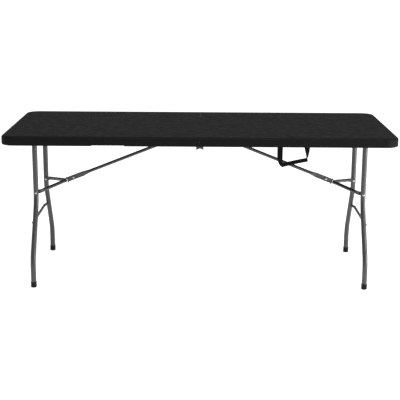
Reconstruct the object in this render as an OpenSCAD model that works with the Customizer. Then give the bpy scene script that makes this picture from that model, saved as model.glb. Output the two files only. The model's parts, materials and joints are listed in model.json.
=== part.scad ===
// Bifold folding table: two blow-moulded top halves hinged at the middle, a folding
// leg frame under each end, and a brace with a slide-on lock ring for each leg frame.
// X runs along the table, Y across it (the front is -Y), Z up from the floor.
// Each module draws the right half's piece; the left half's is its mirror image.

/* [Table top] */
// Length of the open table
table_l = 1808; // [1740:2:2200]
// Width of the table, front to rear
table_w = 740; // [610:5:900]
// Height of the top surface above the floor
table_h = 740; // [610:5:770]
// Height of the rim
top_t = 42.5; // [40:0.5:50]
// Thickness of the hollow panel
panel_t = 14; // [12:0.5:15]
// Thickness of the moulded skin
skin_t = 2.2; // [1.6:0.1:2.6]
// Width of the rim
rim_w = 24; // [20:1:30]
// Thickness of the wall beside the seam
seam_wall = 10; // [8:0.5:11]
// Gap between the halves at the seam
seam_gap = 0.2; // [0.2:0.1:2]
// Radius of the top's outer corners
corner_r = 62; // [46:1:70]
// Rounding of the top's upper edge
edge_r = 12; // [4:0.5:13]
// Rounding of the rim's lower edge
low_edge_r = 4; // [1:0.5:5]
// Spacing of the tack-off dimples under the panel
dimple_pitch = 112; // [80:2:200]
// Radius of a tack-off dimple at its mouth
dimple_r = 10; // [6:1:14]
// Depth of a tack-off dimple
dimple_h = 9.5; // [6:0.5:9.5]

/* [Hand notch] */
// Distance from the seam to the near end of the hand notch
notch_x = 341; // [300:1:400]
// Length of the hand notch
notch_l = 149; // [140:1:200]
// Depth of the hand notch
notch_h = 4; // [2:0.5:6]

/* [Rails and hinges] */
// Space between the rim's inner face and a rail
rail_gap = 10; // [10:0.2:16]
// Width of a rail's top flange
flange_w = 24; // [20:1:30]
// Width of a rail's bottom flange
lip_w = 10; // [6:1:14]
// Sheet thickness of a rail
rail_t = 2; // [1.5:0.25:2.25]
// Distance from the table's end to the end of a rail
rail_end = 50; // [46:1:90]
// Thickness of a hinge leaf
leaf_t = 3; // [2:0.25:3]
// Length of a hinge leaf from the pin
leaf_l = 75; // [64:1:110]
// Depth of a hinge ear below the rim
ear_drop = 19; // [14:1:24]
// Half width of a hinge ear
ear_w = 17.5; // [15:0.5:22]
// Diameter of the hinge pins
hinge_pin_d = 8; // [6:0.5:9]

/* [Leg frames] */
// Distance from the table's end to the leg frame
leg_inset = 120; // [114:1:160]
// Height of the leg pivot above the rim's lower edge
pivot_rise = 10.5; // [10:0.1:11]
// Outer diameter of the leg tubes
leg_d = 25; // [22:0.5:30]
// Wall thickness of the steel tubes
tube_t = 1.2; // [1:0.1:2]
// Distance of each leg from the middle at its top
leg_top_y = 150; // [120:1:180]
// Drop from the leg pivot to the arm rivets
rivet_drop = 281.5; // [260:0.5:300]
// Drop from the arm rivets to the leg's upper bend
splay_drop = 45; // [40:1:60]
// Height of the leg's lower bend above the floor
splay_foot_z = 132; // [110:1:150]
// Radius of the leg's bends
bend_r = 180; // [120:5:180]
// Drop from the leg pivot to the cross bar
bar_drop = 427; // [415:1:440]
// Diameter of the cross bar
bar_d = 14; // [10:0.5:15]
// Diameter of the pivot tube
pivot_d = 14; // [12:0.5:14]
// Wall thickness of a foot cap round the leg
foot_wall = 2; // [1.5:0.25:2.25]
// Height of a foot cap
foot_h = 27; // [20:1:40]
// Thickness of a foot cap under the leg
foot_floor = 3.5; // [2:0.5:6]
// Space between a folded foot and its rail
foot_clear = 5.5; // [4:0.5:12]

/* [Brace] */
// Distance from the seam to the centre rod
brace_pivot_x = 22; // [22:0.5:26]
// Diameter of the centre rod
rod_d = 12; // [10:0.5:12]
// Outer diameter of the brace tube
brace_d = 16; // [14:0.1:19.5]
// How much longer brace and arms are than the straight line
brace_slack = 1; // [0.6:0.1:2.5]
// Height of the brace's flattened outer end
flat_h = 24; // [20:0.5:24]
// Thickness of the brace's flattened ends
flat_t = 3.2; // [2.4:0.2:3.2]
// Length of the flattened end past the joint rivet
flat_out = 36; // [34:1:44]
// Length of the flattened end before the joint rivet
flat_in = 53; // [50:1:70]
// Outer diameter of an arm tube
arm_d = 17; // [12:0.5:17]
// Height of an arm's flattened ends
arm_flat_h = 18; // [15:0.5:18]
// Thickness of an arm's flattened ends
arm_flat_t = 3; // [2:0.25:3]
// Length of an arm's flattened end past the joint rivet
arm_flat_l = 40; // [38:1:50]
// Diameter of the joint and leg rivets
rivet_d = 6; // [5:0.5:7]

/* [Lock ring] */
// Distance from the joint rivet to the lock ring
ring_out = 33; // [30:1:35]
// How much wider the lock ring is inside than the brace tube
ring_side_gap = 1; // [0.8:0.1:2]
// How much higher the lock ring is inside than the brace's flattened end
ring_play = 3; // [2:0.5:5]
// Wire diameter of the lock ring
ring_wire = 4; // [3:0.5:4.5]

/* [Carry strap] */
// Distance from the seam to the strap's inner leg
strap_x = 364; // [355:1:372]
// Distance between the strap's two legs
strap_pitch = 122; // [112:1:124]
// Width of the webbing
strap_w = 26; // [20:1:26]
// Thickness of the webbing
strap_t = 3; // [1.5:0.25:3.5]
// Drop of the strap's lowest corner below the rim
strap_drop = 97; // [70:1:120]

/* [Hidden] */
$fn = 48;
overrun = 1;
seat = 0.05;       // step by which one stretch of a bar sits inside the next
lap = 2;           // length over which two such stretches overlap
fit_gap = 0.1;     // radial gap round a fixed pin or rod
run_gap = 0.3;     // radial or side gap of a running fit
rod_clear = 0.15;  // radial gap of the centre rod in the rails

half_l = table_l / 2;
half_w = table_w / 2;
rim_z = table_h - top_t;
panel_z = table_h - panel_t;
x_seam = seam_gap / 2;
x_wall = x_seam + seam_wall;
x_rim = half_l - rim_w;
y_rim = half_w - rim_w;

web_y = y_rim - rail_gap;              // outer face of a rail's web
rail_x0 = x_wall + 0.5;
rail_x1 = half_l - rail_end;
rail_z0 = rim_z + 1;
leaf_gap = 0.4;
ear_y = web_y + leaf_t + leaf_gap;     // inner face of the left half's ears
ear_r = 11;
slot_h = ear_r + 2.5;
joggle_x = 36;                         // where the left half's leaf steps out to its ear
joggle_w = 3;
plate_rise = 1.5;
plate_h = 22;
leaf_rivet_x = [46, 64];
leaf_rivet_d = 5;
leaf_rivet_z = rim_z + 14;
pin_head_r = 6.5;
screw_x = [60, 0.36 * rail_x1, 0.68 * rail_x1, rail_x1 - 25];
screw_d = 4;
screw_l = 8;
screw_y = web_y - flange_w / 2 - 2;

leg_x = half_l - leg_inset;
pivot_z = rim_z + pivot_rise;
foot_d = leg_d + 2 * foot_wall;
rivet_z = pivot_z - rivet_drop;
foot_y = web_y - flange_w - foot_clear - foot_d / 2;
upper_bend_z = rivet_z - splay_drop;
splay_a = atan2(foot_y - leg_top_y, upper_bend_z - splay_foot_z);
bend_l = bend_r * tan(splay_a / 2);
leg_top = leg_d / 2 - 2;               // leg above the pivot's axis
cap_y = web_y + run_gap;
cap_r = 9;
cap_t = 4;
bar_x = leg_x + brace_d / 2 + bar_d / 2 + 1;
bar_z = pivot_z - bar_drop;
rivet_head_r = 5;

// The brace and the arms reach from the centre rod to the arm rivets in a straight
// line at rest, and lie one on the other when the leg frame is folded.
open_l = norm([leg_x - brace_pivot_x, rivet_drop]);
folded_l = leg_x - rivet_drop - brace_pivot_x;
arm_l = (open_l - folded_l + brace_slack) / 2;
brace_l = (open_l + folded_l + brace_slack) / 2;
brace_a = -atan2(rivet_drop, leg_x - brace_pivot_x)
    - acos((pow(open_l, 2) + pow(brace_l, 2) - pow(arm_l, 2)) / (2 * open_l * brace_l));
joint_x = brace_pivot_x + brace_l * cos(brace_a);
joint_z = pivot_z + brace_l * sin(brace_a);
eye_r = 10.3;
eye_l = 30;
taper = 32;
arm_y = flat_t / 2 + run_gap;          // inner face of an arm's flattened end
lug_y = leg_top_y - leg_d / 2 - run_gap - arm_flat_t;
lug_l = 22;
arm_taper = 20;
collar_r = 9;
collar_l = 8;
drain_d = 4;                           // drain hole in the underside of a closed tube
ring_w = brace_d + ring_side_gap;
ring_h = flat_h + ring_play;
ring_sag = ring_play / 2 - run_gap;

strap_y = -y_rim + 0.2;
strap_top = rim_z + 19;
strap_low = rim_z - strap_drop;
clamp_t = 1.5;
clamp_h = 14;

plastic = [0.16, 0.16, 0.17];
steel = [0.42, 0.43, 0.43];
zinc = [0.78, 0.79, 0.80];
black = [0.08, 0.08, 0.08];

module left() { mirror([1, 0, 0]) children(); }

// A cylinder of radius r along Y from y0 to y1, centred on x and z.
module across(x, z, r, y0, y1) {
    translate([x, y0, z]) rotate([-90, 0, 0]) cylinder(r = r, h = y1 - y0);
}

// An outline drawn in X and Z, given a thickness from y0 to y1.
module upright(y0, y1) {
    translate([0, y1, 0]) rotate([90, 0, 0]) linear_extrude(height = y1 - y0) children();
}

// A rivet along Y with its head's back face at y, on the side that side points to.
module dome_head(x, y, z, r, side) {
    translate([x, y, z]) rotate([-90 * side, 0, 0]) {
        cylinder(r = r, h = 1);
        translate([0, 0, 1]) cylinder(r1 = r, r2 = r * 0.55, h = r * 0.32);
    }
}

// ---- Table top ----

// Section of the top's edge, from the corner's centre outwards, rounded above and below.
module edge_profile() {
    square([corner_r - edge_r, top_t]);
    translate([0, low_edge_r]) square([corner_r, top_t - edge_r - low_edge_r]);
    square([corner_r - low_edge_r, top_t - edge_r]);
    translate([corner_r - edge_r, top_t - edge_r]) circle(edge_r);
    translate([corner_r - low_edge_r, low_edge_r]) circle(low_edge_r);
}

module top_blank() {
    x_in = half_l - corner_r;
    y_in = half_w - corner_r;
    translate([x_seam, -y_in, rim_z]) cube([x_in - x_seam, 2 * y_in, top_t]);
    for (s = [-1, 1])
        translate([x_seam, s * y_in, rim_z]) rotate([90, 0, 90])
            linear_extrude(height = x_in - x_seam) facing(s) edge_profile();
    translate([x_in, y_in, rim_z]) rotate([90, 0, 0])
        linear_extrude(height = 2 * y_in) edge_profile();
    for (s = [0, 1])
        translate([x_in, (2 * s - 1) * y_in, rim_z]) rotate([0, 0, s == 0 ? -90 : 0])
            rotate_extrude(angle = 90) edge_profile();
}

// Turns a section over so that it faces the front when s is -1.
module facing(s) {
    if (s > 0) children();
    else mirror([1, 0]) children();
}

// A rectangle from x0 to x1, round at its outer corners.
module outline(x0, x1, y, r) {
    translate([x0, -y]) square([x1 - r - x0, 2 * y]);
    translate([x1 - r, -(y - r)]) square([r, 2 * (y - r)]);
    for (s = [-1, 1]) translate([x1 - r, s * (y - r)]) circle(r);
}

recess_r = corner_r - rim_w;
dimple_x0 = x_wall + 75;
dimple_nx = floor((x_rim - 60 - dimple_x0) / dimple_pitch);
dimple_ny = floor((2 * (web_y - flange_w) - 40) / dimple_pitch);
dimple_places = [for (i = [0 : dimple_nx]) for (j = [0 : dimple_ny])
    [dimple_x0 + i * dimple_pitch, (j - dimple_ny / 2) * dimple_pitch]];
post_r = dimple_r + 2;
boss_r = 6;

// The hollow inside the moulded shell.
module cavity() {
    panel_lo = panel_z + skin_t;
    panel_hi = table_h - skin_t;
    inner_r = edge_r - skin_t;
    rim_hi = min(table_h - edge_r + sqrt(pow(inner_r, 2) - pow(inner_r - 1, 2)), panel_hi - 1);
    difference() {
        union() {
            translate([0, 0, panel_lo]) linear_extrude(height = panel_hi - panel_lo)
                outline(x_wall + 5, half_l - edge_r, half_w - edge_r, corner_r - edge_r);
            translate([0, 0, rim_z + skin_t]) difference() {
                linear_extrude(height = rim_hi - rim_z - skin_t)
                    outline(x_wall + 5, half_l - skin_t - 1, half_w - skin_t - 1,
                        corner_r - skin_t - 1);
                translate([0, 0, -overrun]) linear_extrude(height = top_t)
                    outline(x_seam, x_rim + skin_t, y_rim + skin_t, recess_r + skin_t);
            }
        }
        for (p = dimple_places)
            translate([p[0], p[1], panel_z]) cylinder(r = post_r, h = panel_t);
        for (x = screw_x) for (s = [-1, 1])
            translate([x, s * screw_y, panel_z]) cylinder(r = boss_r, h = panel_t);
        for (x = [strap_x, strap_x + strap_pitch])
            translate([x - boss_r, -half_w, rim_z]) cube([2 * boss_r, rim_w, top_t]);
    }
}

module top_half() {
    color(plastic) difference() {
        top_blank();
        translate([0, 0, rim_z - overrun]) linear_extrude(height = panel_z - rim_z + overrun)
            outline(x_wall, x_rim, y_rim, recess_r);
        cavity();
        for (s = [-1, 1])
            translate([0, s > 0 ? web_y - 4 : -y_rim, rim_z - overrun])
                cube([x_wall + overrun, rail_gap + 4, slot_h + overrun]);
        for (p = dimple_places)
            translate([p[0], p[1], panel_z]) cylinder(r1 = dimple_r, r2 = dimple_r / 2, h = dimple_h);
        for (x = screw_x) for (s = [-1, 1])
            translate([x, s * screw_y, panel_z - overrun])
                cylinder(r = screw_d / 2 + fit_gap, h = screw_l + overrun);
        translate([x_rim - 2, 0, rim_z + 14]) rotate([0, 90, 0]) cylinder(r = 4, h = skin_t + 6);
    }
}

module right_top() {
    color(plastic) difference() {
        top_half();
        for (x = [strap_x, strap_x + strap_pitch])
            across(x, strap_top - clamp_h / 2, screw_d / 2 + fit_gap,
                strap_y - screw_l - 0.5, -y_rim + overrun);
    }
}

// The left half is cut away under its front rim, so that the strap can pass when closed.
module left_top() {
    color(plastic) difference() {
        left() top_half();
        translate([-notch_x - notch_l, -half_w - overrun, rim_z - overrun])
            cube([notch_l, rim_w + 2 * overrun, notch_h + overrun]);
    }
}

// ---- Rails, hinges and rods on each half; side is -1 at the front and 1 at the rear ----

module rail(side) {
    rail_l = rail_x1 - rail_x0;
    y_web = side > 0 ? web_y - rail_t : -web_y;
    y_flange = side > 0 ? web_y - flange_w : -web_y;
    y_lip = side > 0 ? web_y - lip_w : -web_y;
    color(steel) difference() {
        union() {
            translate([rail_x0, y_web, rail_z0]) cube([rail_l, rail_t, panel_z - rail_z0]);
            translate([rail_x0, y_flange, panel_z - rail_t]) cube([rail_l, flange_w, rail_t]);
            translate([rail_x0, y_lip, rail_z0]) cube([rail_l, lip_w, rail_t]);
        }
        across(leg_x, pivot_z, pivot_d / 2 + run_gap, -half_w, half_w);
        across(brace_pivot_x, pivot_z, rod_d / 2 + rod_clear, -half_w, half_w);
        for (x = leaf_rivet_x) across(x, leaf_rivet_z, leaf_rivet_d / 2 + fit_gap, -half_w, half_w);
        for (x = screw_x) translate([x, side * screw_y, panel_z - 2 * rail_t])
            cylinder(r = screw_d / 2 + fit_gap, h = 3 * rail_t);
    }
}

module rail_screws() {
    color(zinc) for (x = screw_x) for (s = [-1, 1])
        translate([x, s * screw_y, panel_z - rail_t]) {
            cylinder(r = screw_d / 2, h = rail_t + screw_l - 0.5);
            translate([0, 0, -2.4]) cylinder(r1 = 3, r2 = 4.5, h = 1);
            translate([0, 0, -1.4]) cylinder(r = 4.5, h = 1.4);
        }
}

// Outline of a hinge ear round the pin, with its stop corner below the rim.
module ear_outline() {
    translate([0, rim_z]) circle(ear_r);
    polygon([[0, rim_z - ear_r - 1.5], [ear_w, rim_z - ear_drop],
        [ear_w - 1.5, rim_z - 7], [ear_w + 13.5, rim_z + plate_rise],
        [joggle_x + joggle_w, rim_z + plate_rise], [joggle_x + joggle_w, rim_z + plate_rise + plate_h],
        [x_wall + 1, rim_z + plate_rise + plate_h], [x_wall + 1, rim_z + ear_r], [0, rim_z + ear_r]]);
}

// The plate against the rail.
module plate_outline(x0) {
    translate([x0, rim_z + plate_rise]) square([leaf_l - x0, plate_h]);
}

module leaf_holes(pin_gap) {
    across(0, rim_z, hinge_pin_d / 2 + pin_gap, -half_w, half_w);
    for (x = leaf_rivet_x) across(x, leaf_rivet_z, leaf_rivet_d / 2 + fit_gap, -half_w, half_w);
}

module right_leaf(side) {
    y0 = side > 0 ? web_y : -web_y - leaf_t;
    color(steel) difference() {
        upright(y0, y0 + leaf_t) {
            ear_outline();
            plate_outline(x_wall + 1);
        }
        leaf_holes(fit_gap);
    }
}

// The left half's ears stand off by one plate, so that they pass beside the right half's.
module left_leaf(side) {
    y0 = side > 0 ? web_y : -web_y - leaf_t;
    y1 = side > 0 ? ear_y : -ear_y - leaf_t;
    step_y = side > 0 ? web_y : -ear_y - leaf_t;
    color(steel) left() difference() {
        union() {
            upright(y0, y0 + leaf_t) plate_outline(joggle_x);
            upright(y1, y1 + leaf_t) ear_outline();
            upright(step_y, step_y + 2 * leaf_t + leaf_gap)
                translate([joggle_x, rim_z + plate_rise]) square([joggle_w, plate_h]);
        }
        leaf_holes(run_gap);
    }
}

module hinge_rivets() {
    color(steel) for (x = leaf_rivet_x) for (s = [-1, 1]) {
        inner = s > 0 ? web_y - rail_t : -web_y - leaf_t;
        across(x, leaf_rivet_z, leaf_rivet_d / 2, inner, inner + rail_t + leaf_t);
        dome_head(x, s * (web_y + leaf_t), leaf_rivet_z, 4.5, s);
        dome_head(x, s * (web_y - rail_t), leaf_rivet_z, 4.5, -s);
    }
}

module hinge_pins() {
    color(steel) for (s = [-1, 1]) {
        y_in = web_y - 1.8;
        y_out = ear_y + leaf_t + run_gap;
        across(0, rim_z, hinge_pin_d / 2, s > 0 ? y_in : -y_out, s > 0 ? y_out : -y_in);
        across(0, rim_z, pin_head_r, s > 0 ? y_in : -web_y, s > 0 ? web_y : -y_in);
        dome_head(0, s * y_out, rim_z, pin_head_r, s);
    }
}

module centre_rod() {
    color(zinc) across(brace_pivot_x, pivot_z, rod_d / 2, -web_y + 0.1, web_y - 0.1);
}

module brace_collars() {
    y0 = flat_t / 2 + run_gap;
    color(black) for (s = [-1, 1]) difference() {
        across(brace_pivot_x, pivot_z, collar_r, s > 0 ? y0 : -y0 - collar_l, s > 0 ? y0 + collar_l : -y0);
        across(brace_pivot_x, pivot_z, rod_d / 2 + fit_gap, -half_w, half_w);
    }
}

// ---- Leg frame ----

// A leg's bent axis as straight and curved stretches of a ring from radius r_in to r_out.
module leg_sweep(side, r_out, r_in, z0, z1) {
    a_top = upper_bend_z + bend_l;
    a_foot = splay_foot_z - bend_l;
    run_l = (upper_bend_z - splay_foot_z) / cos(splay_a) - 2 * bend_l;
    mirror([0, side > 0 ? 0 : 1, 0]) translate([leg_x, 0, 0]) {
        translate([0, leg_top_y, a_top]) straight(r_out, r_in, z1 - a_top);
        translate([0, leg_top_y + bend_r, a_top]) rotate([90, 0, 90]) rotate([0, 0, 180])
            bend(r_out, r_in);
        translate([0, leg_top_y, upper_bend_z]) rotate([splay_a, 0, 0])
            translate([0, 0, -bend_l - run_l - lap])
                straight(r_out - seat, r_in + seat, run_l + 2 * lap);
        translate([0, foot_y - bend_r, a_foot]) rotate([90, 0, 90]) bend(r_out, r_in);
        translate([0, foot_y, z0]) straight(r_out, r_in, a_foot - z0);
    }
}

module straight(r_out, r_in, length) {
    difference() {
        cylinder(r = r_out, h = length);
        if (r_in > seat) translate([0, 0, -overrun]) cylinder(r = r_in, h = length + 2 * overrun);
    }
}

module bend(r_out, r_in) {
    rotate_extrude(angle = splay_a) translate([bend_r, 0]) difference() {
        circle(r_out);
        if (r_in > 0) circle(r_in);
    }
}

// How far a leg's axis lies from the middle at height z on its straight splayed part.
function splay_y(z) = leg_top_y + (upper_bend_z - z) * tan(splay_a);

module leg(side) {
    color(steel) difference() {
        leg_sweep(side, leg_d / 2, leg_d / 2 - tube_t, foot_floor, pivot_z + leg_top);
        across(leg_x, pivot_z, pivot_d / 2 + fit_gap, -half_w, half_w);
        across(leg_x, rivet_z, rivet_d / 2 + fit_gap, -half_w, half_w);
    }
}

module pivot_tube() {
    color(steel) difference() {
        across(leg_x, pivot_z, pivot_d / 2, -cap_y - cap_t + 1, cap_y + cap_t - 1);
        across(leg_x, pivot_z, pivot_d / 2 - tube_t, -half_w, half_w);
    }
}

module pivot_caps() {
    color(black) for (s = [-1, 1]) difference() {
        across(leg_x, pivot_z, cap_r, s > 0 ? cap_y : -cap_y - cap_t, s > 0 ? cap_y + cap_t : -cap_y);
        across(leg_x, pivot_z, pivot_d / 2 + fit_gap, s > 0 ? 0 : -cap_y - cap_t + 1,
            s > 0 ? cap_y + cap_t - 1 : 0);
    }
}

// A bar in front of the brace, with both ends cranked back to meet the legs.
module cross_bar() {
    end_y = splay_y(bar_z);
    mid_y = 0.8 * end_y;
    end_x = leg_x + leg_d / 8;
    crank_a = atan2(bar_x - end_x, end_y - mid_y);
    crank_l = norm([bar_x - end_x, end_y - mid_y]);
    color(steel) difference() {
        union() {
            across(bar_x, bar_z, bar_d / 2, -mid_y, mid_y);
            for (s = [-1, 1]) translate([bar_x, s * mid_y, bar_z]) {
                sphere(bar_d / 2 + seat);
                rotate([-90 * s, 0, crank_a * s]) cylinder(r = bar_d / 2 - seat, h = crank_l);
            }
        }
        for (s = [-1, 1]) leg_sweep(s, leg_d / 2, 0, foot_floor, pivot_z);
    }
}

module foot(side) {
    color(black) translate([leg_x, side * foot_y, 0]) difference() {
        union() {
            translate([0, 0, 3]) cylinder(r = foot_d / 2, h = foot_h - 3);
            cylinder(r1 = foot_d / 2 - 2, r2 = foot_d / 2, h = 3);
        }
        translate([0, 0, foot_floor]) cylinder(r = leg_d / 2 + fit_gap, h = foot_h);
    }
}

// The outer heads sit just clear of the leg where it starts to bend outwards.
module leg_rivets() {
    head_drop = max(0, upper_bend_z + bend_l - rivet_z + rivet_head_r);
    y_in = leg_top_y - leg_d / 2 - 0.1;
    y_out = leg_top_y + leg_d / 2 + pow(head_drop, 2) / (2 * bend_r - leg_d) + seat;
    y_end = y_out + seat;
    color(zinc) for (s = [-1, 1]) {
        across(leg_x, rivet_z, rivet_d / 2, s > 0 ? y_in : -y_end, s > 0 ? y_end : -y_in);
        dome_head(leg_x, s * y_out, rivet_z, rivet_head_r, s);
    }
}

// ---- Brace, arms and lock ring ----

// Places a piece in the brace's own frame: X runs outwards along it from the centre rod.
module on_brace() {
    translate([brace_pivot_x, 0, pivot_z]) rotate([0, -brace_a, 0]) children();
}

// The stretch of a tube of diameter d that is pressed flat to thickness t and height h.
// It runs along X from the flat end at 0 to the round end, and reaches back into the flat.
module flattened(t, h, d, length, back) {
    intersection() {
        translate([-back, 0, 0]) rotate([0, 90, 0])
            cylinder(r1 = h / 2 - seat, r2 = d / 2 - seat, h = length + back);
        translate([0, 0, -h]) linear_extrude(height = 2 * h)
            polygon([[-back, 3 * seat - t / 2], [length + overrun, -0.6 * d],
                [length + overrun, 0.6 * d], [-back, t / 2 - 3 * seat]]);
    }
}

// A round-edged end of a flat, where a bent arm turns out of its plane.
module elbow(t, h) {
    translate([0, 0, seat - h / 2]) cylinder(d = t - 2 * seat, h = h - 2 * seat);
}

// The round part of a tube along X from x0 to x1, hollow, with a drain hole underneath.
module round_part(d, x0, x1) {
    rotate([0, 90, 0]) difference() {
        translate([0, 0, x0 - lap]) cylinder(d = d, h = x1 - x0 + 2 * lap);
        translate([0, 0, x0 + 1]) cylinder(d = d - 2 * tube_t, h = x1 - x0 - 2);
        translate([0, 0, x1 - 6]) rotate([0, 90, 0]) cylinder(d = drain_d, h = d);
    }
}

module arm(side) {
    flat_end = [joint_x + arm_flat_l * cos(brace_a), arm_y + arm_flat_t / 2,
        joint_z + arm_flat_l * sin(brace_a)];
    lug_a = atan2(rivet_z - flat_end[2], leg_x - flat_end[0]);
    lug_end = [leg_x - lug_l * cos(lug_a), lug_y + arm_flat_t / 2, rivet_z - lug_l * sin(lug_a)];
    span = lug_end - flat_end;
    turn_z = atan2(span[1], span[0]);
    turn_y = -atan2(span[2], norm([span[0], span[1]]));
    color(steel) mirror([0, side > 0 ? 0 : 1, 0]) {
        difference() {
            on_brace() translate([brace_l, 0, 0]) {
                across(0, 0, arm_flat_h / 2, arm_y, arm_y + arm_flat_t);
                translate([0, arm_y, -arm_flat_h / 2]) cube([arm_flat_l, arm_flat_t, arm_flat_h]);
            }
            across(joint_x, joint_z, rivet_d / 2 + fit_gap, 0, half_w);
        }
        difference() {
            translate([leg_x, lug_y, rivet_z]) rotate([0, -lug_a, 0]) {
                across(0, 0, arm_flat_h / 2, 0, arm_flat_t);
                translate([-lug_l, 0, -arm_flat_h / 2]) cube([lug_l, arm_flat_t, arm_flat_h]);
            }
            across(leg_x, rivet_z, rivet_d / 2 + fit_gap, 0, half_w);
        }
        translate(flat_end) {
            rotate([0, -brace_a, 0]) elbow(arm_flat_t, arm_flat_h);
            rotate([0, turn_y, turn_z]) {
                flattened(arm_flat_t, arm_flat_h, arm_d, arm_taper, 0);
                round_part(arm_d, arm_taper, norm(span) - arm_taper);
                translate([norm(span), 0, 0]) rotate([0, 0, 180])
                    flattened(arm_flat_t, arm_flat_h, arm_d, arm_taper, 0);
            }
        }
        translate(lug_end) rotate([0, -lug_a, 0]) elbow(arm_flat_t, arm_flat_h);
    }
}

module arm_rivets() {
    color(zinc) for (s = [-1, 1]) {
        across(leg_x, rivet_z, rivet_d / 2, s > 0 ? lug_y : -lug_y - arm_flat_t,
            s > 0 ? lug_y + arm_flat_t : -lug_y);
        dome_head(leg_x, s * lug_y, rivet_z, rivet_head_r, -s);
    }
}

module joint_rivet() {
    y_out = arm_y + arm_flat_t;
    color(zinc) {
        across(joint_x, joint_z, rivet_d / 2, -y_out, y_out);
        for (s = [-1, 1]) dome_head(joint_x, s * y_out, joint_z, rivet_head_r, s);
    }
}

module brace() {
    color(steel) on_brace() {
        difference() {
            union() {
                across(0, 0, eye_r, -flat_t / 2, flat_t / 2);
                translate([0, -flat_t / 2, -eye_r]) cube([eye_l, flat_t, 2 * eye_r]);
            }
            across(0, 0, rod_d / 2 + run_gap, -flat_t, flat_t);
        }
        difference() {
            translate([brace_l - flat_in, -flat_t / 2, -flat_h / 2])
                cube([flat_in + flat_out, flat_t, flat_h]);
            across(brace_l, 0, rivet_d / 2 + run_gap, -flat_t, flat_t);
        }
        translate([eye_l, 0, 0]) flattened(flat_t, 2 * eye_r, brace_d, taper, lap);
        round_part(brace_d, eye_l + taper, brace_l - flat_in - taper);
        translate([brace_l - flat_in, 0, 0]) rotate([0, 0, 180])
            flattened(flat_t, flat_h, brace_d, taper, lap);
    }
}

// An upright wire loop with round ends, hanging on the brace's flattened end.
module lock_ring() {
    bow_r = ring_w / 2 + ring_wire / 2;
    bow_z = ring_h / 2 - ring_w / 2;
    color(zinc) on_brace() translate([brace_l + ring_out, 0, -ring_sag]) {
        for (s = [-1, 1]) {
            translate([0, s * bow_r, -bow_z]) cylinder(r = ring_wire / 2, h = 2 * bow_z);
            translate([0, 0, s * bow_z]) rotate([90, 0, 90]) rotate([0, 0, s > 0 ? 0 : 180])
                rotate_extrude(angle = 180) translate([bow_r, 0]) circle(ring_wire / 2);
        }
    }
}

// ---- Carry strap, held behind the front rim of the right half ----

strap_x2 = strap_x + strap_pitch;
half_strap = strap_w / 2;

// One band: down the inner leg, outwards along the sagging run, and up the outer leg.
module strap() {
    color(black) difference() {
        upright(strap_y, strap_y + strap_t)
            polygon([[strap_x - half_strap, strap_top], [strap_x - half_strap, strap_low + 34],
                [strap_x + 6, strap_low], [strap_x + 41, strap_low + 4.5],
                [strap_x + 85, strap_low + 14.5], [strap_x2 + 4, strap_low + 29.5],
                [strap_x2 + 8.5, strap_low + 34], [strap_x2 + 11.5, strap_low + 53],
                [strap_x2 + half_strap, strap_low + 72], [strap_x2 + half_strap, strap_top],
                [strap_x2 - half_strap, strap_top], [strap_x2 - half_strap, rim_z],
                [strap_x2 + 2, strap_low + 48], [strap_x2 - 0.5, strap_low + 46],
                [strap_x + 93, strap_low + 36.5], [strap_x + 54, strap_low + 26],
                [strap_x + half_strap, strap_low + 21], [strap_x + half_strap, strap_top]]);
        for (x = [strap_x, strap_x2])
            across(x, strap_top - clamp_h / 2, screw_d / 2 + fit_gap, -half_w, 0);
    }
}

module strap_plates() {
    y0 = strap_y + strap_t;
    color(zinc) for (x = [strap_x, strap_x2]) difference() {
        translate([x - half_strap, y0, strap_top - clamp_h]) cube([strap_w, clamp_t, clamp_h]);
        across(x, strap_top - clamp_h / 2, screw_d / 2 + fit_gap, -half_w, 0);
    }
}

module strap_screws() {
    y0 = strap_y + strap_t + clamp_t;
    color(zinc) for (x = [strap_x, strap_x2]) {
        dome_head(x, y0, strap_top - clamp_h / 2, 4, 1);
        across(x, strap_top - clamp_h / 2, screw_d / 2, strap_y - screw_l, y0);
    }
}

right_top();
left_top();
rail(-1);  // right_front_rail
rail(1);  // right_rear_rail
left() rail(-1);  // left_front_rail
left() rail(1);  // left_rear_rail
rail_screws();  // right_rail_screws
left() rail_screws();  // left_rail_screws
right_leaf(-1);  // right_front_hinge_leaf
right_leaf(1);  // right_rear_hinge_leaf
left_leaf(-1);  // left_front_hinge_leaf
left_leaf(1);  // left_rear_hinge_leaf
hinge_rivets();  // right_hinge_rivets
left() hinge_rivets();  // left_hinge_rivets
hinge_pins();
centre_rod();  // right_centre_rod
left() centre_rod();  // left_centre_rod
brace_collars();  // right_brace_collars
left() brace_collars();  // left_brace_collars
pivot_tube();  // right_pivot_tube
left() pivot_tube();  // left_pivot_tube
pivot_caps();  // right_pivot_caps
left() pivot_caps();  // left_pivot_caps
leg(-1);  // right_front_leg
leg(1);  // right_rear_leg
left() leg(-1);  // left_front_leg
left() leg(1);  // left_rear_leg
cross_bar();  // right_cross_bar
left() cross_bar();  // left_cross_bar
foot(-1);  // right_front_foot
foot(1);  // right_rear_foot
left() foot(-1);  // left_front_foot
left() foot(1);  // left_rear_foot
leg_rivets();  // right_leg_rivets
left() leg_rivets();  // left_leg_rivets
arm(-1);  // right_front_arm
arm(1);  // right_rear_arm
left() arm(-1);  // left_front_arm
left() arm(1);  // left_rear_arm
arm_rivets();  // right_arm_rivets
left() arm_rivets();  // left_arm_rivets
joint_rivet();  // right_joint_rivet
left() joint_rivet();  // left_joint_rivet
brace();  // right_brace
left() brace();  // left_brace
lock_ring();  // right_lock_ring
left() lock_ring();  // left_lock_ring
strap();
strap_plates();
strap_screws();
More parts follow.
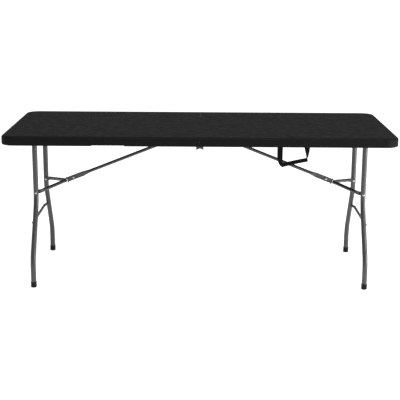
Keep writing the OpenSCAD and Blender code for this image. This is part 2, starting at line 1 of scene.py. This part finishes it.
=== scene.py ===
# %% [markdown]
# # A bifold folding table
# The frame of this table is a set of exact solids that already has its sizes and its joints.
# This script gives it its surfaces: the pebbled black plastic, the powder-coated tubes, the
# zinc-plated rivets and the woven carry strap. It starts by loading the frame. Nothing that is
# added may make the table bigger.

# %% Load the frame
import json
import math
import bpy
from mathutils import Matrix, Vector


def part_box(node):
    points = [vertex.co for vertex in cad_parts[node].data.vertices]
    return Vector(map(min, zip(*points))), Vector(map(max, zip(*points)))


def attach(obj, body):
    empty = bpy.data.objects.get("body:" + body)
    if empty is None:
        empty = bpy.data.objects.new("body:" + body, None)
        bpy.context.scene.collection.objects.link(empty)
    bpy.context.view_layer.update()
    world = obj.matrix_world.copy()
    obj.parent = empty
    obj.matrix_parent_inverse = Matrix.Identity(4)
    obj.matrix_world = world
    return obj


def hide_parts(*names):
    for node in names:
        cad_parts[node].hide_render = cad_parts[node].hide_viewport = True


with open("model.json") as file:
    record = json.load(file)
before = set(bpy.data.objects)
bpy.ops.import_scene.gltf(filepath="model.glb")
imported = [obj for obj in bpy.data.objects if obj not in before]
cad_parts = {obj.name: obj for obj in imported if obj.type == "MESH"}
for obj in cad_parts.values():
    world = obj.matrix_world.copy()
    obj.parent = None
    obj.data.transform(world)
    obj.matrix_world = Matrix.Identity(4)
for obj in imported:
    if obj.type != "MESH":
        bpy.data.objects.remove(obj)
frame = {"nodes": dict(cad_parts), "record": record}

nodes = frame["nodes"]
slots = {part["node"]: part["material_slot"] for part in frame["record"]["subparts"]}
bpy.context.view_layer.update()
MM = 0.001
SIDES = ("right", "left")
ENDS = ("front", "rear")

# %% [markdown]
# The camera stands 4.5 m in front of the table at a standing person's eye level and looks down
# by 13 degrees. A long lens keeps the four legs nearly upright. The frame is shifted down a
# little, as a view camera's is, so the table stands in the upper half of the picture.

# %% Camera
LENS_MM = 84.27
CAMERA_PLACE = (0.0055, -4.5049, 1.5199)
LOOK_DOWN = math.radians(13.319)
TURN = math.radians(0.048)
ROLL = math.radians(0.358)

bpy.ops.object.select_all(action="DESELECT")
bpy.ops.object.camera_add(location=CAMERA_PLACE)
camera = bpy.context.object
camera.name = "camera"
camera.data.lens = LENS_MM
camera.data.shift_y = -0.0476
turned = Matrix.Rotation(TURN, 3, "Z") @ Matrix.Rotation(math.pi / 2 - LOOK_DOWN, 3, "X")
camera.rotation_euler = (turned @ Matrix.Rotation(ROLL, 3, "Z")).to_euler()
bpy.context.scene.camera = camera
print("camera:", LENS_MM, "mm lens at", CAMERA_PLACE)

# %% [markdown]
# ## Small helpers
# A material is a tree of nodes. Two short functions keep the trees readable: one adds a node
# with its inputs set, and one reads a noise pattern at a real size, given in millimetres.

# %% Helpers for materials
def new_material(name):
    material = bpy.data.materials.new(name)
    material.use_nodes = True
    tree = material.node_tree
    shader = tree.nodes["Principled BSDF"]
    return material, tree, shader


def add_node(tree, kind, inputs=None, **settings):
    made = tree.nodes.new(kind)
    for key, value in settings.items():
        setattr(made, key, value)
    for key, value in (inputs or {}).items():
        if isinstance(value, bpy.types.NodeSocket):
            tree.links.new(value, made.inputs[key])
        else:
            made.inputs[key].default_value = value
    return made


def place(tree, kind="Object"):
    return add_node(tree, "ShaderNodeTexCoord").outputs[kind]


def noise(tree, size_mm, detail=3.0, where=None):
    """A noise pattern whose blotches are about size_mm across."""
    where = where or place(tree)
    made = add_node(tree, "ShaderNodeTexNoise",
                    {"Vector": where, "Scale": 1000 / size_mm, "Detail": detail})
    return made.outputs["Fac"]


def spread(tree, value, low, high, start=0.3, end=0.7):
    """Maps a pattern's middle stretch to the range from low to high."""
    made = add_node(tree, "ShaderNodeMapRange",
                    {"Value": value, "From Min": start, "From Max": end,
                     "To Min": low, "To Max": high})
    return made.outputs["Result"]


def two_colours(tree, amount, dark, light):
    made = add_node(tree, "ShaderNodeMix", data_type="RGBA")
    tree.links.new(amount, made.inputs["Factor"])
    made.inputs[6].default_value = (*dark, 1)
    made.inputs[7].default_value = (*light, 1)
    return made.outputs[2]


def bumped(tree, height, depth_mm, under=None):
    made = add_node(tree, "ShaderNodeBump",
                    {"Height": height, "Distance": depth_mm * MM, "Strength": 1.0})
    if under:
        tree.links.new(under, made.inputs["Normal"])
    return made.outputs["Normal"]


def edge_mask(tree, radius_mm):
    """1 along sharp edges and 0 on flats: a rounded normal leaves the true one there."""
    soft = add_node(tree, "ShaderNodeBevel", {"Radius": radius_mm * MM}, samples=4)
    true = add_node(tree, "ShaderNodeNewGeometry").outputs["Normal"]
    dot = add_node(tree, "ShaderNodeVectorMath", operation="DOT_PRODUCT")
    tree.links.new(soft.outputs["Normal"], dot.inputs[0])
    tree.links.new(true, dot.inputs[1])
    return spread(tree, dot.outputs["Value"], 1.0, 0.0, 0.90, 0.995)


def multiply(tree, a, b):
    made = add_node(tree, "ShaderNodeMath", operation="MULTIPLY")
    for socket, value in zip(made.inputs, (a, b)):
        if isinstance(value, bpy.types.NodeSocket):
            tree.links.new(value, socket)
        else:
            socket.default_value = value
    return made.outputs[0]


print("material helpers ready")

# %% [markdown]
# ## The moulded top
# The top is blow-moulded polyethylene. Its mould is etched, so the whole skin has a fine pebble
# grain about a millimetre across, and the grain's tips take a slight shine from use. The plastic
# is black all through, so worn edges turn smoother and a little greyer, not another colour.

# %% Pebbled black plastic
def pebbled_plastic():
    material, tree, shader = new_material("pebbled_black_plastic")
    cloud = noise(tree, 90, 4)
    grain = add_node(tree, "ShaderNodeTexVoronoi",
                     {"Vector": place(tree), "Scale": 1000 / 1.7, "Smoothness": 0.7},
                     feature="SMOOTH_F1").outputs["Distance"]
    fine = noise(tree, 0.6, 2)
    worn = multiply(tree, edge_mask(tree, 2.5), spread(tree, noise(tree, 14), 0.0, 1.0))
    base = two_colours(tree, spread(tree, cloud, 0.0, 1.0), (0.0040, 0.0040, 0.0043),
                       (0.0047, 0.0047, 0.0050))
    mixed = add_node(tree, "ShaderNodeMix", data_type="RGBA")
    tree.links.new(worn, mixed.inputs["Factor"])
    tree.links.new(base, mixed.inputs[6])
    mixed.inputs[7].default_value = (0.010, 0.010, 0.0105, 1)
    tree.links.new(mixed.outputs[2], shader.inputs["Base Color"])
    rough = spread(tree, noise(tree, 25, 4), 0.52, 0.68)
    tree.links.new(rough, shader.inputs["Roughness"])
    tips = bumped(tree, grain, 0.06)
    tree.links.new(bumped(tree, fine, 0.012, tips), shader.inputs["Normal"])
    shader.inputs["Specular IOR Level"].default_value = 0.06
    return material


top_plastic = pebbled_plastic()
print("finish:", top_plastic.name)

# %% [markdown]
# ## The painted tubes
# Legs, braces and arms are steel tube with a grey powder coat. Powder coat melts into a skin
# with a faint orange peel, and fine metal flakes make it glint. It wears through to bright
# steel only where parts rub, at the ends and edges.

# %% Powder coat
def powder_coat(name, dark, light, flake=0.35):
    material, tree, shader = new_material(name)
    speck = noise(tree, 1.1, 2)
    cloud = noise(tree, 60, 4)
    base = two_colours(tree, spread(tree, speck, 0.0, 1.0, 0.42, 0.62), dark, light)
    shaded = add_node(tree, "ShaderNodeMix", data_type="RGBA", blend_type="MULTIPLY")
    shaded.inputs["Factor"].default_value = 1.0
    tree.links.new(base, shaded.inputs[6])
    tone = two_colours(tree, spread(tree, cloud, 0.0, 1.0), (0.86, 0.86, 0.86), (1.0, 1.0, 1.0))
    tree.links.new(tone, shaded.inputs[7])
    worn = multiply(tree, edge_mask(tree, 0.8), spread(tree, noise(tree, 6), 0.0, 0.8, 0.5, 0.7))
    mixed = add_node(tree, "ShaderNodeMix", data_type="RGBA")
    tree.links.new(worn, mixed.inputs["Factor"])
    tree.links.new(shaded.outputs[2], mixed.inputs[6])
    mixed.inputs[7].default_value = (0.20, 0.20, 0.195, 1)
    tree.links.new(mixed.outputs[2], shader.inputs["Base Color"])
    tree.links.new(spread(tree, noise(tree, 9, 3), 0.30, 0.44), shader.inputs["Roughness"])
    peel = bumped(tree, noise(tree, 2.4, 2), 0.05)
    tree.links.new(bumped(tree, speck, 0.02, peel), shader.inputs["Normal"])
    shader.inputs["Metallic"].default_value = flake
    shader.inputs["Coat Weight"].default_value = 0.15
    shader.inputs["Coat Roughness"].default_value = 0.25
    return material


leg_steel = powder_coat("grey_powder_coat", (0.030, 0.0315, 0.031), (0.047, 0.049, 0.0485))
rail_steel = powder_coat("dark_powder_coat", (0.006, 0.0062, 0.0062), (0.012, 0.0124, 0.0124), 0.1)
print("finishes:", leg_steel.name, "and", rail_steel.name)

# %% [markdown]
# ## Zinc plating
# The lock ring, rivets, pins and screws are zinc plated. Zinc is bright but never mirror-like:
# it has cloudy patches, and fine scratches run in all directions.

# %% Zinc
def zinc_plate():
    material, tree, shader = new_material("zinc_plate")
    cloud = noise(tree, 5, 4)
    base = two_colours(tree, spread(tree, cloud, 0.0, 1.0), (0.36, 0.37, 0.38), (0.52, 0.53, 0.53))
    tree.links.new(base, shader.inputs["Base Color"])
    tree.links.new(spread(tree, noise(tree, 1.8, 5), 0.22, 0.42), shader.inputs["Roughness"])
    stretched = add_node(tree, "ShaderNodeMapping",
                         {"Vector": place(tree), "Scale": (1.0, 1.0, 9.0)}).outputs["Vector"]
    scratches = noise(tree, 0.9, 2, stretched)
    tree.links.new(bumped(tree, scratches, 0.015), shader.inputs["Normal"])
    shader.inputs["Metallic"].default_value = 1.0
    return material


zinc = zinc_plate()
print("finish:", zinc.name)

# %% [markdown]
# ## Small black mouldings
# Foot caps, collars and pivot caps are injection-moulded. They are smoother than the top, and
# their feet pick up pale scuffs near the floor.

# %% Injection-moulded plastic
def moulded_plastic():
    material, tree, shader = new_material("moulded_black_plastic")
    scuff = multiply(tree, edge_mask(tree, 1.0), spread(tree, noise(tree, 4, 4), 0.0, 1.0, 0.48, 0.66))
    base = two_colours(tree, scuff, (0.0030, 0.0030, 0.0031), (0.018, 0.0175, 0.017))
    tree.links.new(base, shader.inputs["Base Color"])
    tree.links.new(spread(tree, noise(tree, 8, 3), 0.40, 0.58), shader.inputs["Roughness"])
    tree.links.new(bumped(tree, noise(tree, 0.7, 2), 0.04), shader.inputs["Normal"])
    shader.inputs["Specular IOR Level"].default_value = 0.12
    return material


black_plastic = moulded_plastic()
print("finish:", black_plastic.name)

# %% [markdown]
# ## Webbing
# The strap is flat polypropylene webbing. Its weave is a row of ribs along the strap, each
# crossed by the weft, so two waves at right angles make it. The strap's own UV map holds metres
# across and along the band, so the weave follows every fold.

# %% Woven webbing
RIB_MM = 2.0
WEFT_MM = 1.3


def wave(tree, where, axis, pitch_mm, offset=0.0):
    """A sine wave with one crest every pitch_mm along one axis of where."""
    made = add_node(tree, "ShaderNodeTexWave",
                    {"Vector": where, "Scale": 2 * math.pi / (20 * pitch_mm * MM),
                     "Phase Offset": offset}, bands_direction=axis)
    return made.outputs["Fac"]


def webbing():
    material, tree, shader = new_material("black_webbing")
    where = place(tree, "UV")
    ribs = wave(tree, where, "X", RIB_MM)
    weft = wave(tree, where, "Y", WEFT_MM)
    slope = add_node(tree, "ShaderNodeMapping",
                     {"Vector": where, "Rotation": (0, 0, math.radians(35))}).outputs["Vector"]
    twill = wave(tree, slope, "X", RIB_MM)
    woven = multiply(tree, ribs, spread(tree, weft, 0.45, 1.0, 0.0, 1.0))
    weave_relief_and_shade = multiply(tree, woven, spread(tree, twill, 0.6, 1.0, 0.0, 1.0))
    fuzz = noise(tree, 3.0, 4)
    # Painted shade: the colour follows the weave's height, darker in the valleys between threads and
    # lighter on the crests.
    base = two_colours(tree, weave_relief_and_shade, (0.0012, 0.0012, 0.0012), (0.0045, 0.0045, 0.0048))
    tree.links.new(base, shader.inputs["Base Color"])
    tree.links.new(spread(tree, fuzz, 0.62, 0.85), shader.inputs["Roughness"])
    tree.links.new(bumped(tree, weave_relief_and_shade, 0.35), shader.inputs["Normal"])
    shader.inputs["Specular IOR Level"].default_value = 0.05
    shader.inputs["Sheen Weight"].default_value = 0.01
    return material


strap_webbing = webbing()
print("finish:", strap_webbing.name)

# %% [markdown]
# Each CAD piece keeps its shape and takes the finish of its material slot.

# %% Paint the frame
finishes = {
    "top_plastic": top_plastic,
    "leg_steel": leg_steel,
    "rail_steel": rail_steel,
    "zinc": zinc,
    "black_plastic": black_plastic,
    "webbing": strap_webbing,
}
for name, part in nodes.items():
    for material_slot in part.material_slots:
        material_slot.material = finishes[slots[name]]
print("painted", len(nodes), "nodes with", len(finishes), "finishes")

# %% [markdown]
# ## The carry strap
# The strap is one band of webbing, screwed behind the front rim at both ends. It hangs down the
# inner leg, gathers into the grip, runs up through it and twists into the outer leg. A cloth
# simulation would slide or erase such crisp folds, so the band is laid as listed: a grid with one
# row for each bend, smoothed by a subdivision surface and then given its thickness.

# %% Lay the band row by row
STRAP_WIDTH = 26 * MM
STRAP_THICKNESS = 1.6 * MM
CELLS_ACROSS = 4
strap_lo, strap_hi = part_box("strap")
inner_x = strap_lo.x + STRAP_WIDTH / 2
outer_x = strap_hi.x - STRAP_WIDTH / 2
strap_y = strap_hi.y - STRAP_THICKNESS
top_z = strap_hi.z
low_z = strap_lo.z

# Each row: middle of the band (along X, toward the back, up), then where its right edge points,
# and the row's length as a share of the band's width. X counts from the leg named first.
strap_rows = [
    ("inner", 0, 0, top_z, (1, 0, 0), 0.98),
    ("inner", 0, 0, top_z - 12 * MM, (1, 0, 0), 0.98),
    ("inner", 0, 0, top_z - 34 * MM, (1, 0, 0), 0.97),
    ("inner", 0, 0, low_z + 52 * MM, (1, -0.03, 0), 0.96),
    ("inner", 0.5, 0.3, low_z + 39 * MM, (24, 1, 3), 0.93),
    ("inner", 2.5, 0.3, low_z + 27 * MM, (20, 5, 6), 0.82),
    ("inner", 6.0, 0, low_z + 17 * MM, (14, 7, 11), 0.74),
    ("inner", 11, -1, low_z + 10.5 * MM, (7, 5, 14), 0.62),
    ("inner", 20, -1, low_z + 12 * MM, (3.6, 1, 14.5), 0.5),
    ("inner", 65, -1, low_z + 24 * MM, (3.6, 0, 14.5), 0.5),
    ("outer", -12, -1, low_z + 34.5 * MM, (3.6, 2, 14.5), 0.5),
    ("outer", -1, -0.5, low_z + 38.5 * MM, (4, 9, 9), 0.5),
    ("outer", 2.0, 0, low_z + 47 * MM, (10, 14, 2), 0.66),
    ("outer", 3.0, 0.5, low_z + 58 * MM, (12, 19, 0), 0.88),
    ("outer", 2.5, 0.5, low_z + 74 * MM, (0.80, 0.60, 0), 0.98),
    ("outer", 0.5, 0.5, top_z - 24 * MM, (0.98, 0.20, 0), 1.0),
    ("outer", 0, 0, top_z - 12 * MM, (1, 0, 0), 0.98),
    ("outer", 0, 0, top_z, (1, 0, 0), 0.98),
]
leg_place = {"inner": inner_x, "outer": outer_x}

bpy.ops.object.select_all(action="DESELECT")
bpy.ops.mesh.primitive_grid_add(x_subdivisions=CELLS_ACROSS, y_subdivisions=len(strap_rows) - 1,
                                size=1, calc_uvs=True)
strap = bpy.context.object
strap.name = "carry_strap"
middles = []
for row, (leg, dx, dy, z, across, share) in enumerate(strap_rows):
    middle = Vector((leg_place[leg] + dx * MM, strap_y + dy * MM, z))
    reach = Vector(across).normalized() * STRAP_WIDTH * share
    middles.append(middle)
    for cell in range(CELLS_ACROSS + 1):
        vertex = strap.data.vertices[row * (CELLS_ACROSS + 1) + cell]
        vertex.co = middle + reach * (cell / CELLS_ACROSS - 0.5)

# %% Put metres on the band's UV map, then smooth it and thicken it
travelled = [0.0]
for a, b in zip(middles, middles[1:]):
    travelled.append(travelled[-1] + (b - a).length)
uv = strap.data.uv_layers.active.data
for loop in strap.data.loops:
    row, cell = divmod(loop.vertex_index, CELLS_ACROSS + 1)
    uv[loop.index].uv = (cell / CELLS_ACROSS * STRAP_WIDTH, travelled[row])


def apply_all(piece):
    bpy.ops.object.select_all(action="DESELECT")
    piece.select_set(True)
    bpy.context.view_layer.objects.active = piece
    for modifier in list(piece.modifiers):
        bpy.ops.object.modifier_apply(modifier=modifier.name)


smooth = strap.modifiers.new("smooth", "SUBSURF")
smooth.levels = smooth.render_levels = 3
smooth.boundary_smooth = "PRESERVE_CORNERS"
thick = strap.modifiers.new("thick", "SOLIDIFY")
thick.thickness = STRAP_THICKNESS
thick.offset = 0
apply_all(strap)
bpy.ops.object.shade_smooth_by_angle(angle=math.radians(40))
strap.data.materials.clear()
strap.data.materials.append(finishes["webbing"])
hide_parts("strap")
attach(strap, "right_half")
print("strap triangles:", sum(len(face.vertices) - 2 for face in strap.data.polygons))

# %% [markdown]
# ## Turned pieces
# Foot caps, rivets, stitches and welds are all round, so one helper draws them as a lathe would: a
# circle is extruded up step by step, and each step is scaled to the next radius.

# %% A lathe made of extrudes
ROUND = 40


def lathe(name, profile, centre, along=(0, 0, 1), vertices=ROUND):
    """A closed turned piece. profile is (radius, height) pairs in mm, from the lowest up."""
    bpy.ops.object.select_all(action="DESELECT")
    first, height = profile[0]
    bpy.ops.mesh.primitive_circle_add(vertices=vertices, radius=max(first, 0.01) * MM,
                                      location=(0, 0, height * MM), fill_type="NGON")
    piece = bpy.context.object
    piece.name = name
    bpy.ops.object.transform_apply(location=True, rotation=True, scale=True)
    bpy.ops.object.mode_set(mode="EDIT")
    bpy.ops.mesh.select_all(action="SELECT")
    for (r0, z0), (r1, z1) in zip(profile, profile[1:]):
        bpy.ops.mesh.extrude_region_move(TRANSFORM_OT_translate={"value": (0, 0, (z1 - z0) * MM)})
        scale = max(r1, 0.01) / max(r0, 0.01)
        bpy.ops.transform.resize(value=(scale, scale, 1), center_override=(0, 0, z1 * MM))
    bpy.ops.mesh.select_all(action="SELECT")
    bpy.ops.mesh.normals_make_consistent(inside=False)
    bpy.ops.object.mode_set(mode="OBJECT")
    piece.rotation_euler = Vector((0, 0, 1)).rotation_difference(Vector(along)).to_euler()
    piece.location = centre
    bpy.ops.object.transform_apply(location=True, rotation=True, scale=True)
    bpy.ops.object.shade_smooth_by_angle(angle=math.radians(35))
    return piece


def join(pieces, name):
    bpy.ops.object.select_all(action="DESELECT")
    for piece in pieces:
        piece.select_set(True)
    bpy.context.view_layer.objects.active = pieces[0]
    if len(pieces) > 1:
        bpy.ops.object.join()
    pieces[0].name = name
    return pieces[0]


def dress(piece, slot, body, *stands_for):
    piece.data.materials.clear()
    piece.data.materials.append(finishes[slot])
    if stands_for:
        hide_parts(*stands_for)
    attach(piece, body)


print("lathe ready, with", ROUND, "sides")

# %% [markdown]
# ## The grip
# Where a hand carries the table, a second piece of webbing is wrapped round the band and sewn
# shut. It is a flat sleeve with square ends. A turned rod gives its rings; each ring is then
# pressed into a flat oblong and set on a slightly arched line from one leg to the other.

# %% The grip's line and size
GRIP_START = Vector((inner_x + 6.5 * MM, strap_y - 0.5 * MM, low_z + 9.2 * MM))
GRIP_END = Vector((outer_x + 4.0 * MM, strap_y - 0.5 * MM, low_z + 37.0 * MM))
GRIP_HEIGHT = 18.5
GRIP_THICKNESS = 5.4
GRIP_ARCH = 1.6       # how far its middle stands above the straight line
GRIP_RINGS = 12
along = (GRIP_END - GRIP_START).normalized()
upward = Vector((-along.z, 0, along.x))
grip_length = (GRIP_END - GRIP_START).length / MM
half_height = GRIP_HEIGHT / 2


def on_grip(share, rise):
    """The point a share of the way along the grip, and rise mm above its middle line."""
    arch = GRIP_ARCH * 4 * share * (1 - share)
    return GRIP_START + along * share * grip_length * MM + upward * (rise + arch) * MM


print("grip:", round(grip_length), "mm long")

# %% [markdown]
# A ring is pressed flat by raising the sine and cosine of each point's angle to a power below
# one, which turns a circle into an oblong with soft corners.

# %% Sleeve round the band
TOP_SQUARENESS = 0.45
FACE_SQUARENESS = 0.7
rings = [(half_height - 0.5, 0), (half_height, 0.7)]
rings += [(half_height, grip_length * i / GRIP_RINGS) for i in range(1, GRIP_RINGS)]
rings += [(half_height, grip_length - 0.7), (half_height - 0.5, grip_length)]
grip = lathe("carry_grip", rings, (0, 0, 0), vertices=36)
flat_place = {}
for vertex in grip.data.vertices:
    x, y, z = (value / MM for value in vertex.co)
    radius = math.hypot(x, y) or 1.0
    press = radius / half_height
    tall = math.copysign(abs(x / radius) ** TOP_SQUARENESS, x) * half_height * press
    thick = math.copysign(abs(y / radius) ** FACE_SQUARENESS, y) * GRIP_THICKNESS / 2 * press
    flat_place[vertex.index] = (tall * MM, z * MM)
    vertex.co = on_grip(z / grip_length, tall) + Vector((0, thick * MM, 0))
grip_uv = grip.data.uv_layers.active or grip.data.uv_layers.new(name="metres")
for loop in grip.data.loops:
    grip_uv.data[loop.index].uv = flat_place[loop.vertex_index]
bpy.ops.object.select_all(action="DESELECT")
grip.select_set(True)
bpy.context.view_layer.objects.active = grip
bpy.ops.object.mode_set(mode="EDIT")
bpy.ops.mesh.select_all(action="SELECT")
bpy.ops.mesh.normals_make_consistent(inside=False)
bpy.ops.object.mode_set(mode="OBJECT")
print("sleeve faces:", len(grip.data.polygons))

# %% [markdown]
# Two rows of stitches close each end of the sleeve. A stitch is a short thread with thin ends,
# half sunk into the webbing.

# %% Stitches at the grip's ends
STITCH_ROWS = (0.035, 0.065, 0.935, 0.965)
STITCH_RISES = (-7, -5, -3, -1, 1, 3, 5, 7)
STITCH_PROFILE = [(0.12, 0), (0.3, 0.2), (0.34, 0.65), (0.3, 1.1), (0.12, 1.3)]
STITCH_MIDDLE = 0.65
SUNK = 0.1
stitches = []
for share in STITCH_ROWS:
    for rise in STITCH_RISES:
        spot = on_grip(share, rise - STITCH_MIDDLE)
        spot.y -= (GRIP_THICKNESS / 2 - SUNK) * MM
        stitches.append(lathe("stitch", STITCH_PROFILE, spot, upward, vertices=10))
grip = join([grip] + stitches, "carry_grip")
dress(grip, "webbing", "right_half")
print("stitches:", len(stitches))

# %% [markdown]
# ## Foot caps
# A foot cap is a cup of soft plastic pressed over the tube. It has a rounded sole, a waist that
# grips the tube and a rolled lip at its mouth, which is the dark band that shows on each foot.

# %% Foot caps
made = 0
for side in SIDES:
    for end in ENDS:
        lo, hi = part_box(f"{side}_{end}_foot")
        radius = (hi.x - lo.x) / 2 / MM
        height = (hi.z - lo.z) / MM
        tube = radius - 2.05
        cap_profile = [
            (radius - 4.5, 0.0), (radius - 2.2, 0.35), (radius - 0.9, 1.3), (radius - 0.4, 2.8),
            (radius - 0.5, 6.0), (radius - 0.5, height - 5.0), (radius - 0.1, height - 4.2),
            (radius, height - 2.6), (radius - 0.15, height - 0.9), (radius - 0.7, height - 0.15),
            (radius - 1.3, height), (tube, height - 0.5), (tube, 4.0),
        ]
        foot_centre = ((lo.x + hi.x) / 2, (lo.y + hi.y) / 2, lo.z)
        cap = lathe(f"{side}_{end}_foot_cap", cap_profile, foot_centre)
        dress(cap, "black_plastic", f"{side}_legs", f"{side}_{end}_foot")
        made += 1
print("foot caps:", made)

# %% [markdown]
# ## Rivets
# Each head is a shallow dome that a press has formed, with a flat rim where it meets the tube.

# %% Domed heads
def dome(radius, height):
    """Half of a flattened ball on a thin rim, lowest first."""
    steps = 6
    rim = 0.25 * height
    curve = [(radius * math.cos(math.pi / 2 * i / steps),
              rim + (height - rim) * math.sin(math.pi / 2 * i / steps)) for i in range(steps + 1)]
    return [(radius * 0.94, 0.0), (radius, 0.15 * rim)] + curve


HEAD_RADIUS = 5.0
HEAD_HEIGHT = 2.6
SHANK_RADIUS = 3.0


def leg_inner(side):
    """How far a leg's inner side lies from the table's middle, at the top."""
    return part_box(f"{side}_rear_leg")[0].y


def headed(name, centre, lo_y, hi_y, heads=(-1, 1)):
    """A pin along Y from lo_y to hi_y (the heads' outer faces), with a dome on each named end."""
    parts = []
    start = lo_y + (HEAD_HEIGHT * MM if -1 in heads else 0)
    stop = hi_y - (HEAD_HEIGHT * MM if 1 in heads else 0)
    length = (stop - start) / MM
    shank_profile = [(SHANK_RADIUS - 0.2, 0), (SHANK_RADIUS, 0.2),
                     (SHANK_RADIUS, length - 0.2), (SHANK_RADIUS - 0.2, length)]
    parts.append(lathe(name, shank_profile, (centre[0], start, centre[2]), (0, 1, 0)))
    for end in heads:
        foot = start if end < 0 else stop
        head_profile = dome(HEAD_RADIUS, HEAD_HEIGHT)
        parts.append(lathe(name, head_profile, (centre[0], foot, centre[2]), (0, end, 0)))
    return join(parts, name)


for side in SIDES:
    lo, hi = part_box(f"{side}_joint_rivet")
    middle = (lo + hi) / 2
    rivet = headed(f"{side}_brace_rivet", middle, lo.y, hi.y)
    dress(rivet, "zinc", f"{side}_arms", f"{side}_joint_rivet")
    lo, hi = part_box(f"{side}_leg_rivets")
    middle = (lo + hi) / 2
    inner = leg_inner(side)
    pair = [headed("rivet", middle, -hi.y, -inner, heads=(-1,)),
            headed("rivet", middle, inner, hi.y, heads=(1,))]
    dress(join(pair, f"{side}_leg_rivet_pair"), "zinc", f"{side}_legs", f"{side}_leg_rivets")
print("rivets done")

# %% [markdown]
# ## Weld beads
# The pivot tube passes through both legs and is welded on each side of each leg. A weld bead is
# a small fillet with ripples; here it is drawn on the lathe with a smooth flank.

# %% Welds on the pivot tubes
LEG_RADIUS = 12.5
BEAD_INSET = 1.6      # the bead covers the edge of the hole in the round tube
beads = 0
for side in SIDES:
    lo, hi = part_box(f"{side}_pivot_tube")
    pivot = (lo + hi) / 2
    tube_radius = (hi.z - lo.z) / 2 / MM
    leg_y = leg_inner(side) / MM + LEG_RADIUS
    bead_profile = [(tube_radius - 0.3, -0.6), (tube_radius + 2.3, -0.6), (tube_radius + 2.0, 0.5),
                    (tube_radius + 1.5, 1.1), (tube_radius + 1.1, 2.0), (tube_radius + 0.5, 2.6),
                    (tube_radius - 0.3, 2.9)]
    weld_rings = []
    for sy in (-1, 1):
        for face in (-1, 1):
            ring_y = sy * (leg_y + face * (LEG_RADIUS - BEAD_INSET)) * MM
            weld_rings.append(lathe("bead", bead_profile, (pivot.x, ring_y, pivot.z), (0, sy * face, 0)))
            beads += 1
    dress(join(weld_rings, f"{side}_pivot_welds"), "leg_steel", f"{side}_legs")
print("weld beads:", beads)

# %% [markdown]
# ## Studio
# The table stands on a pale floor under one broad soft light from above and a near, narrow one
# from the right, so the top is lighter than the rim and the tubes shine on their right sides.
# The floor glows a little, as a lit sweep does, so that it stays white under the table too.

# %% Floor and lights
FLOOR_SIZE = 120
ROOM_LIGHT = 0.44   # how strongly the room lights the table
ROOM_SEEN = 1.0     # how bright the room looks behind the floor's far edge
bpy.ops.object.select_all(action="DESELECT")
bpy.ops.mesh.primitive_plane_add(size=FLOOR_SIZE, location=(0, 0, -0.5 * MM))
floor = bpy.context.object
floor.name = "floor"
floor_material, floor_tree, floor_shader = new_material("pale_floor")
floor_shader.inputs["Base Color"].default_value = (0.93, 0.93, 0.93, 1)
floor_shader.inputs["Roughness"].default_value = 0.9
floor_shader.inputs["Specular IOR Level"].default_value = 0.1
floor_shader.inputs["Emission Color"].default_value = (1, 1, 1, 1)
floor_shader.inputs["Emission Strength"].default_value = 0.68
floor.data.materials.append(floor_material)


def soft_light(name, where, size, power, target=(0, 0, 0.5)):
    bpy.ops.object.light_add(type="AREA", location=where)
    lamp = bpy.context.object
    lamp.name = name
    lamp.data.shape = "RECTANGLE"
    lamp.data.size, lamp.data.size_y = size
    lamp.data.energy = power
    aim = Vector(target) - Vector(where)
    lamp.rotation_euler = aim.to_track_quat("-Z", "Y").to_euler()


soft_light("key_above", (0.6, -1.6, 4.2), (4.0, 2.6), 150)
soft_light("side_right", (3.0, -1.5, 0.9), (0.8, 1.6), 90, (0.8, 0, 0.4))
world = bpy.data.worlds.new("white_room")
world.use_nodes = True
room = world.node_tree
seen = add_node(room, "ShaderNodeLightPath").outputs["Is Camera Ray"]
room_strength = spread(room, seen, ROOM_LIGHT, ROOM_SEEN, 0.0, 1.0)
room.nodes["Background"].inputs["Color"].default_value = (1, 1, 1, 1)
room.links.new(room_strength, room.nodes["Background"].inputs["Strength"])
bpy.context.scene.world = world
bpy.context.scene.view_settings.view_transform = "Standard"
print("studio lit")

# %% [markdown]

# %% Finish
bpy.ops.object.select_all(action="DESELECT")
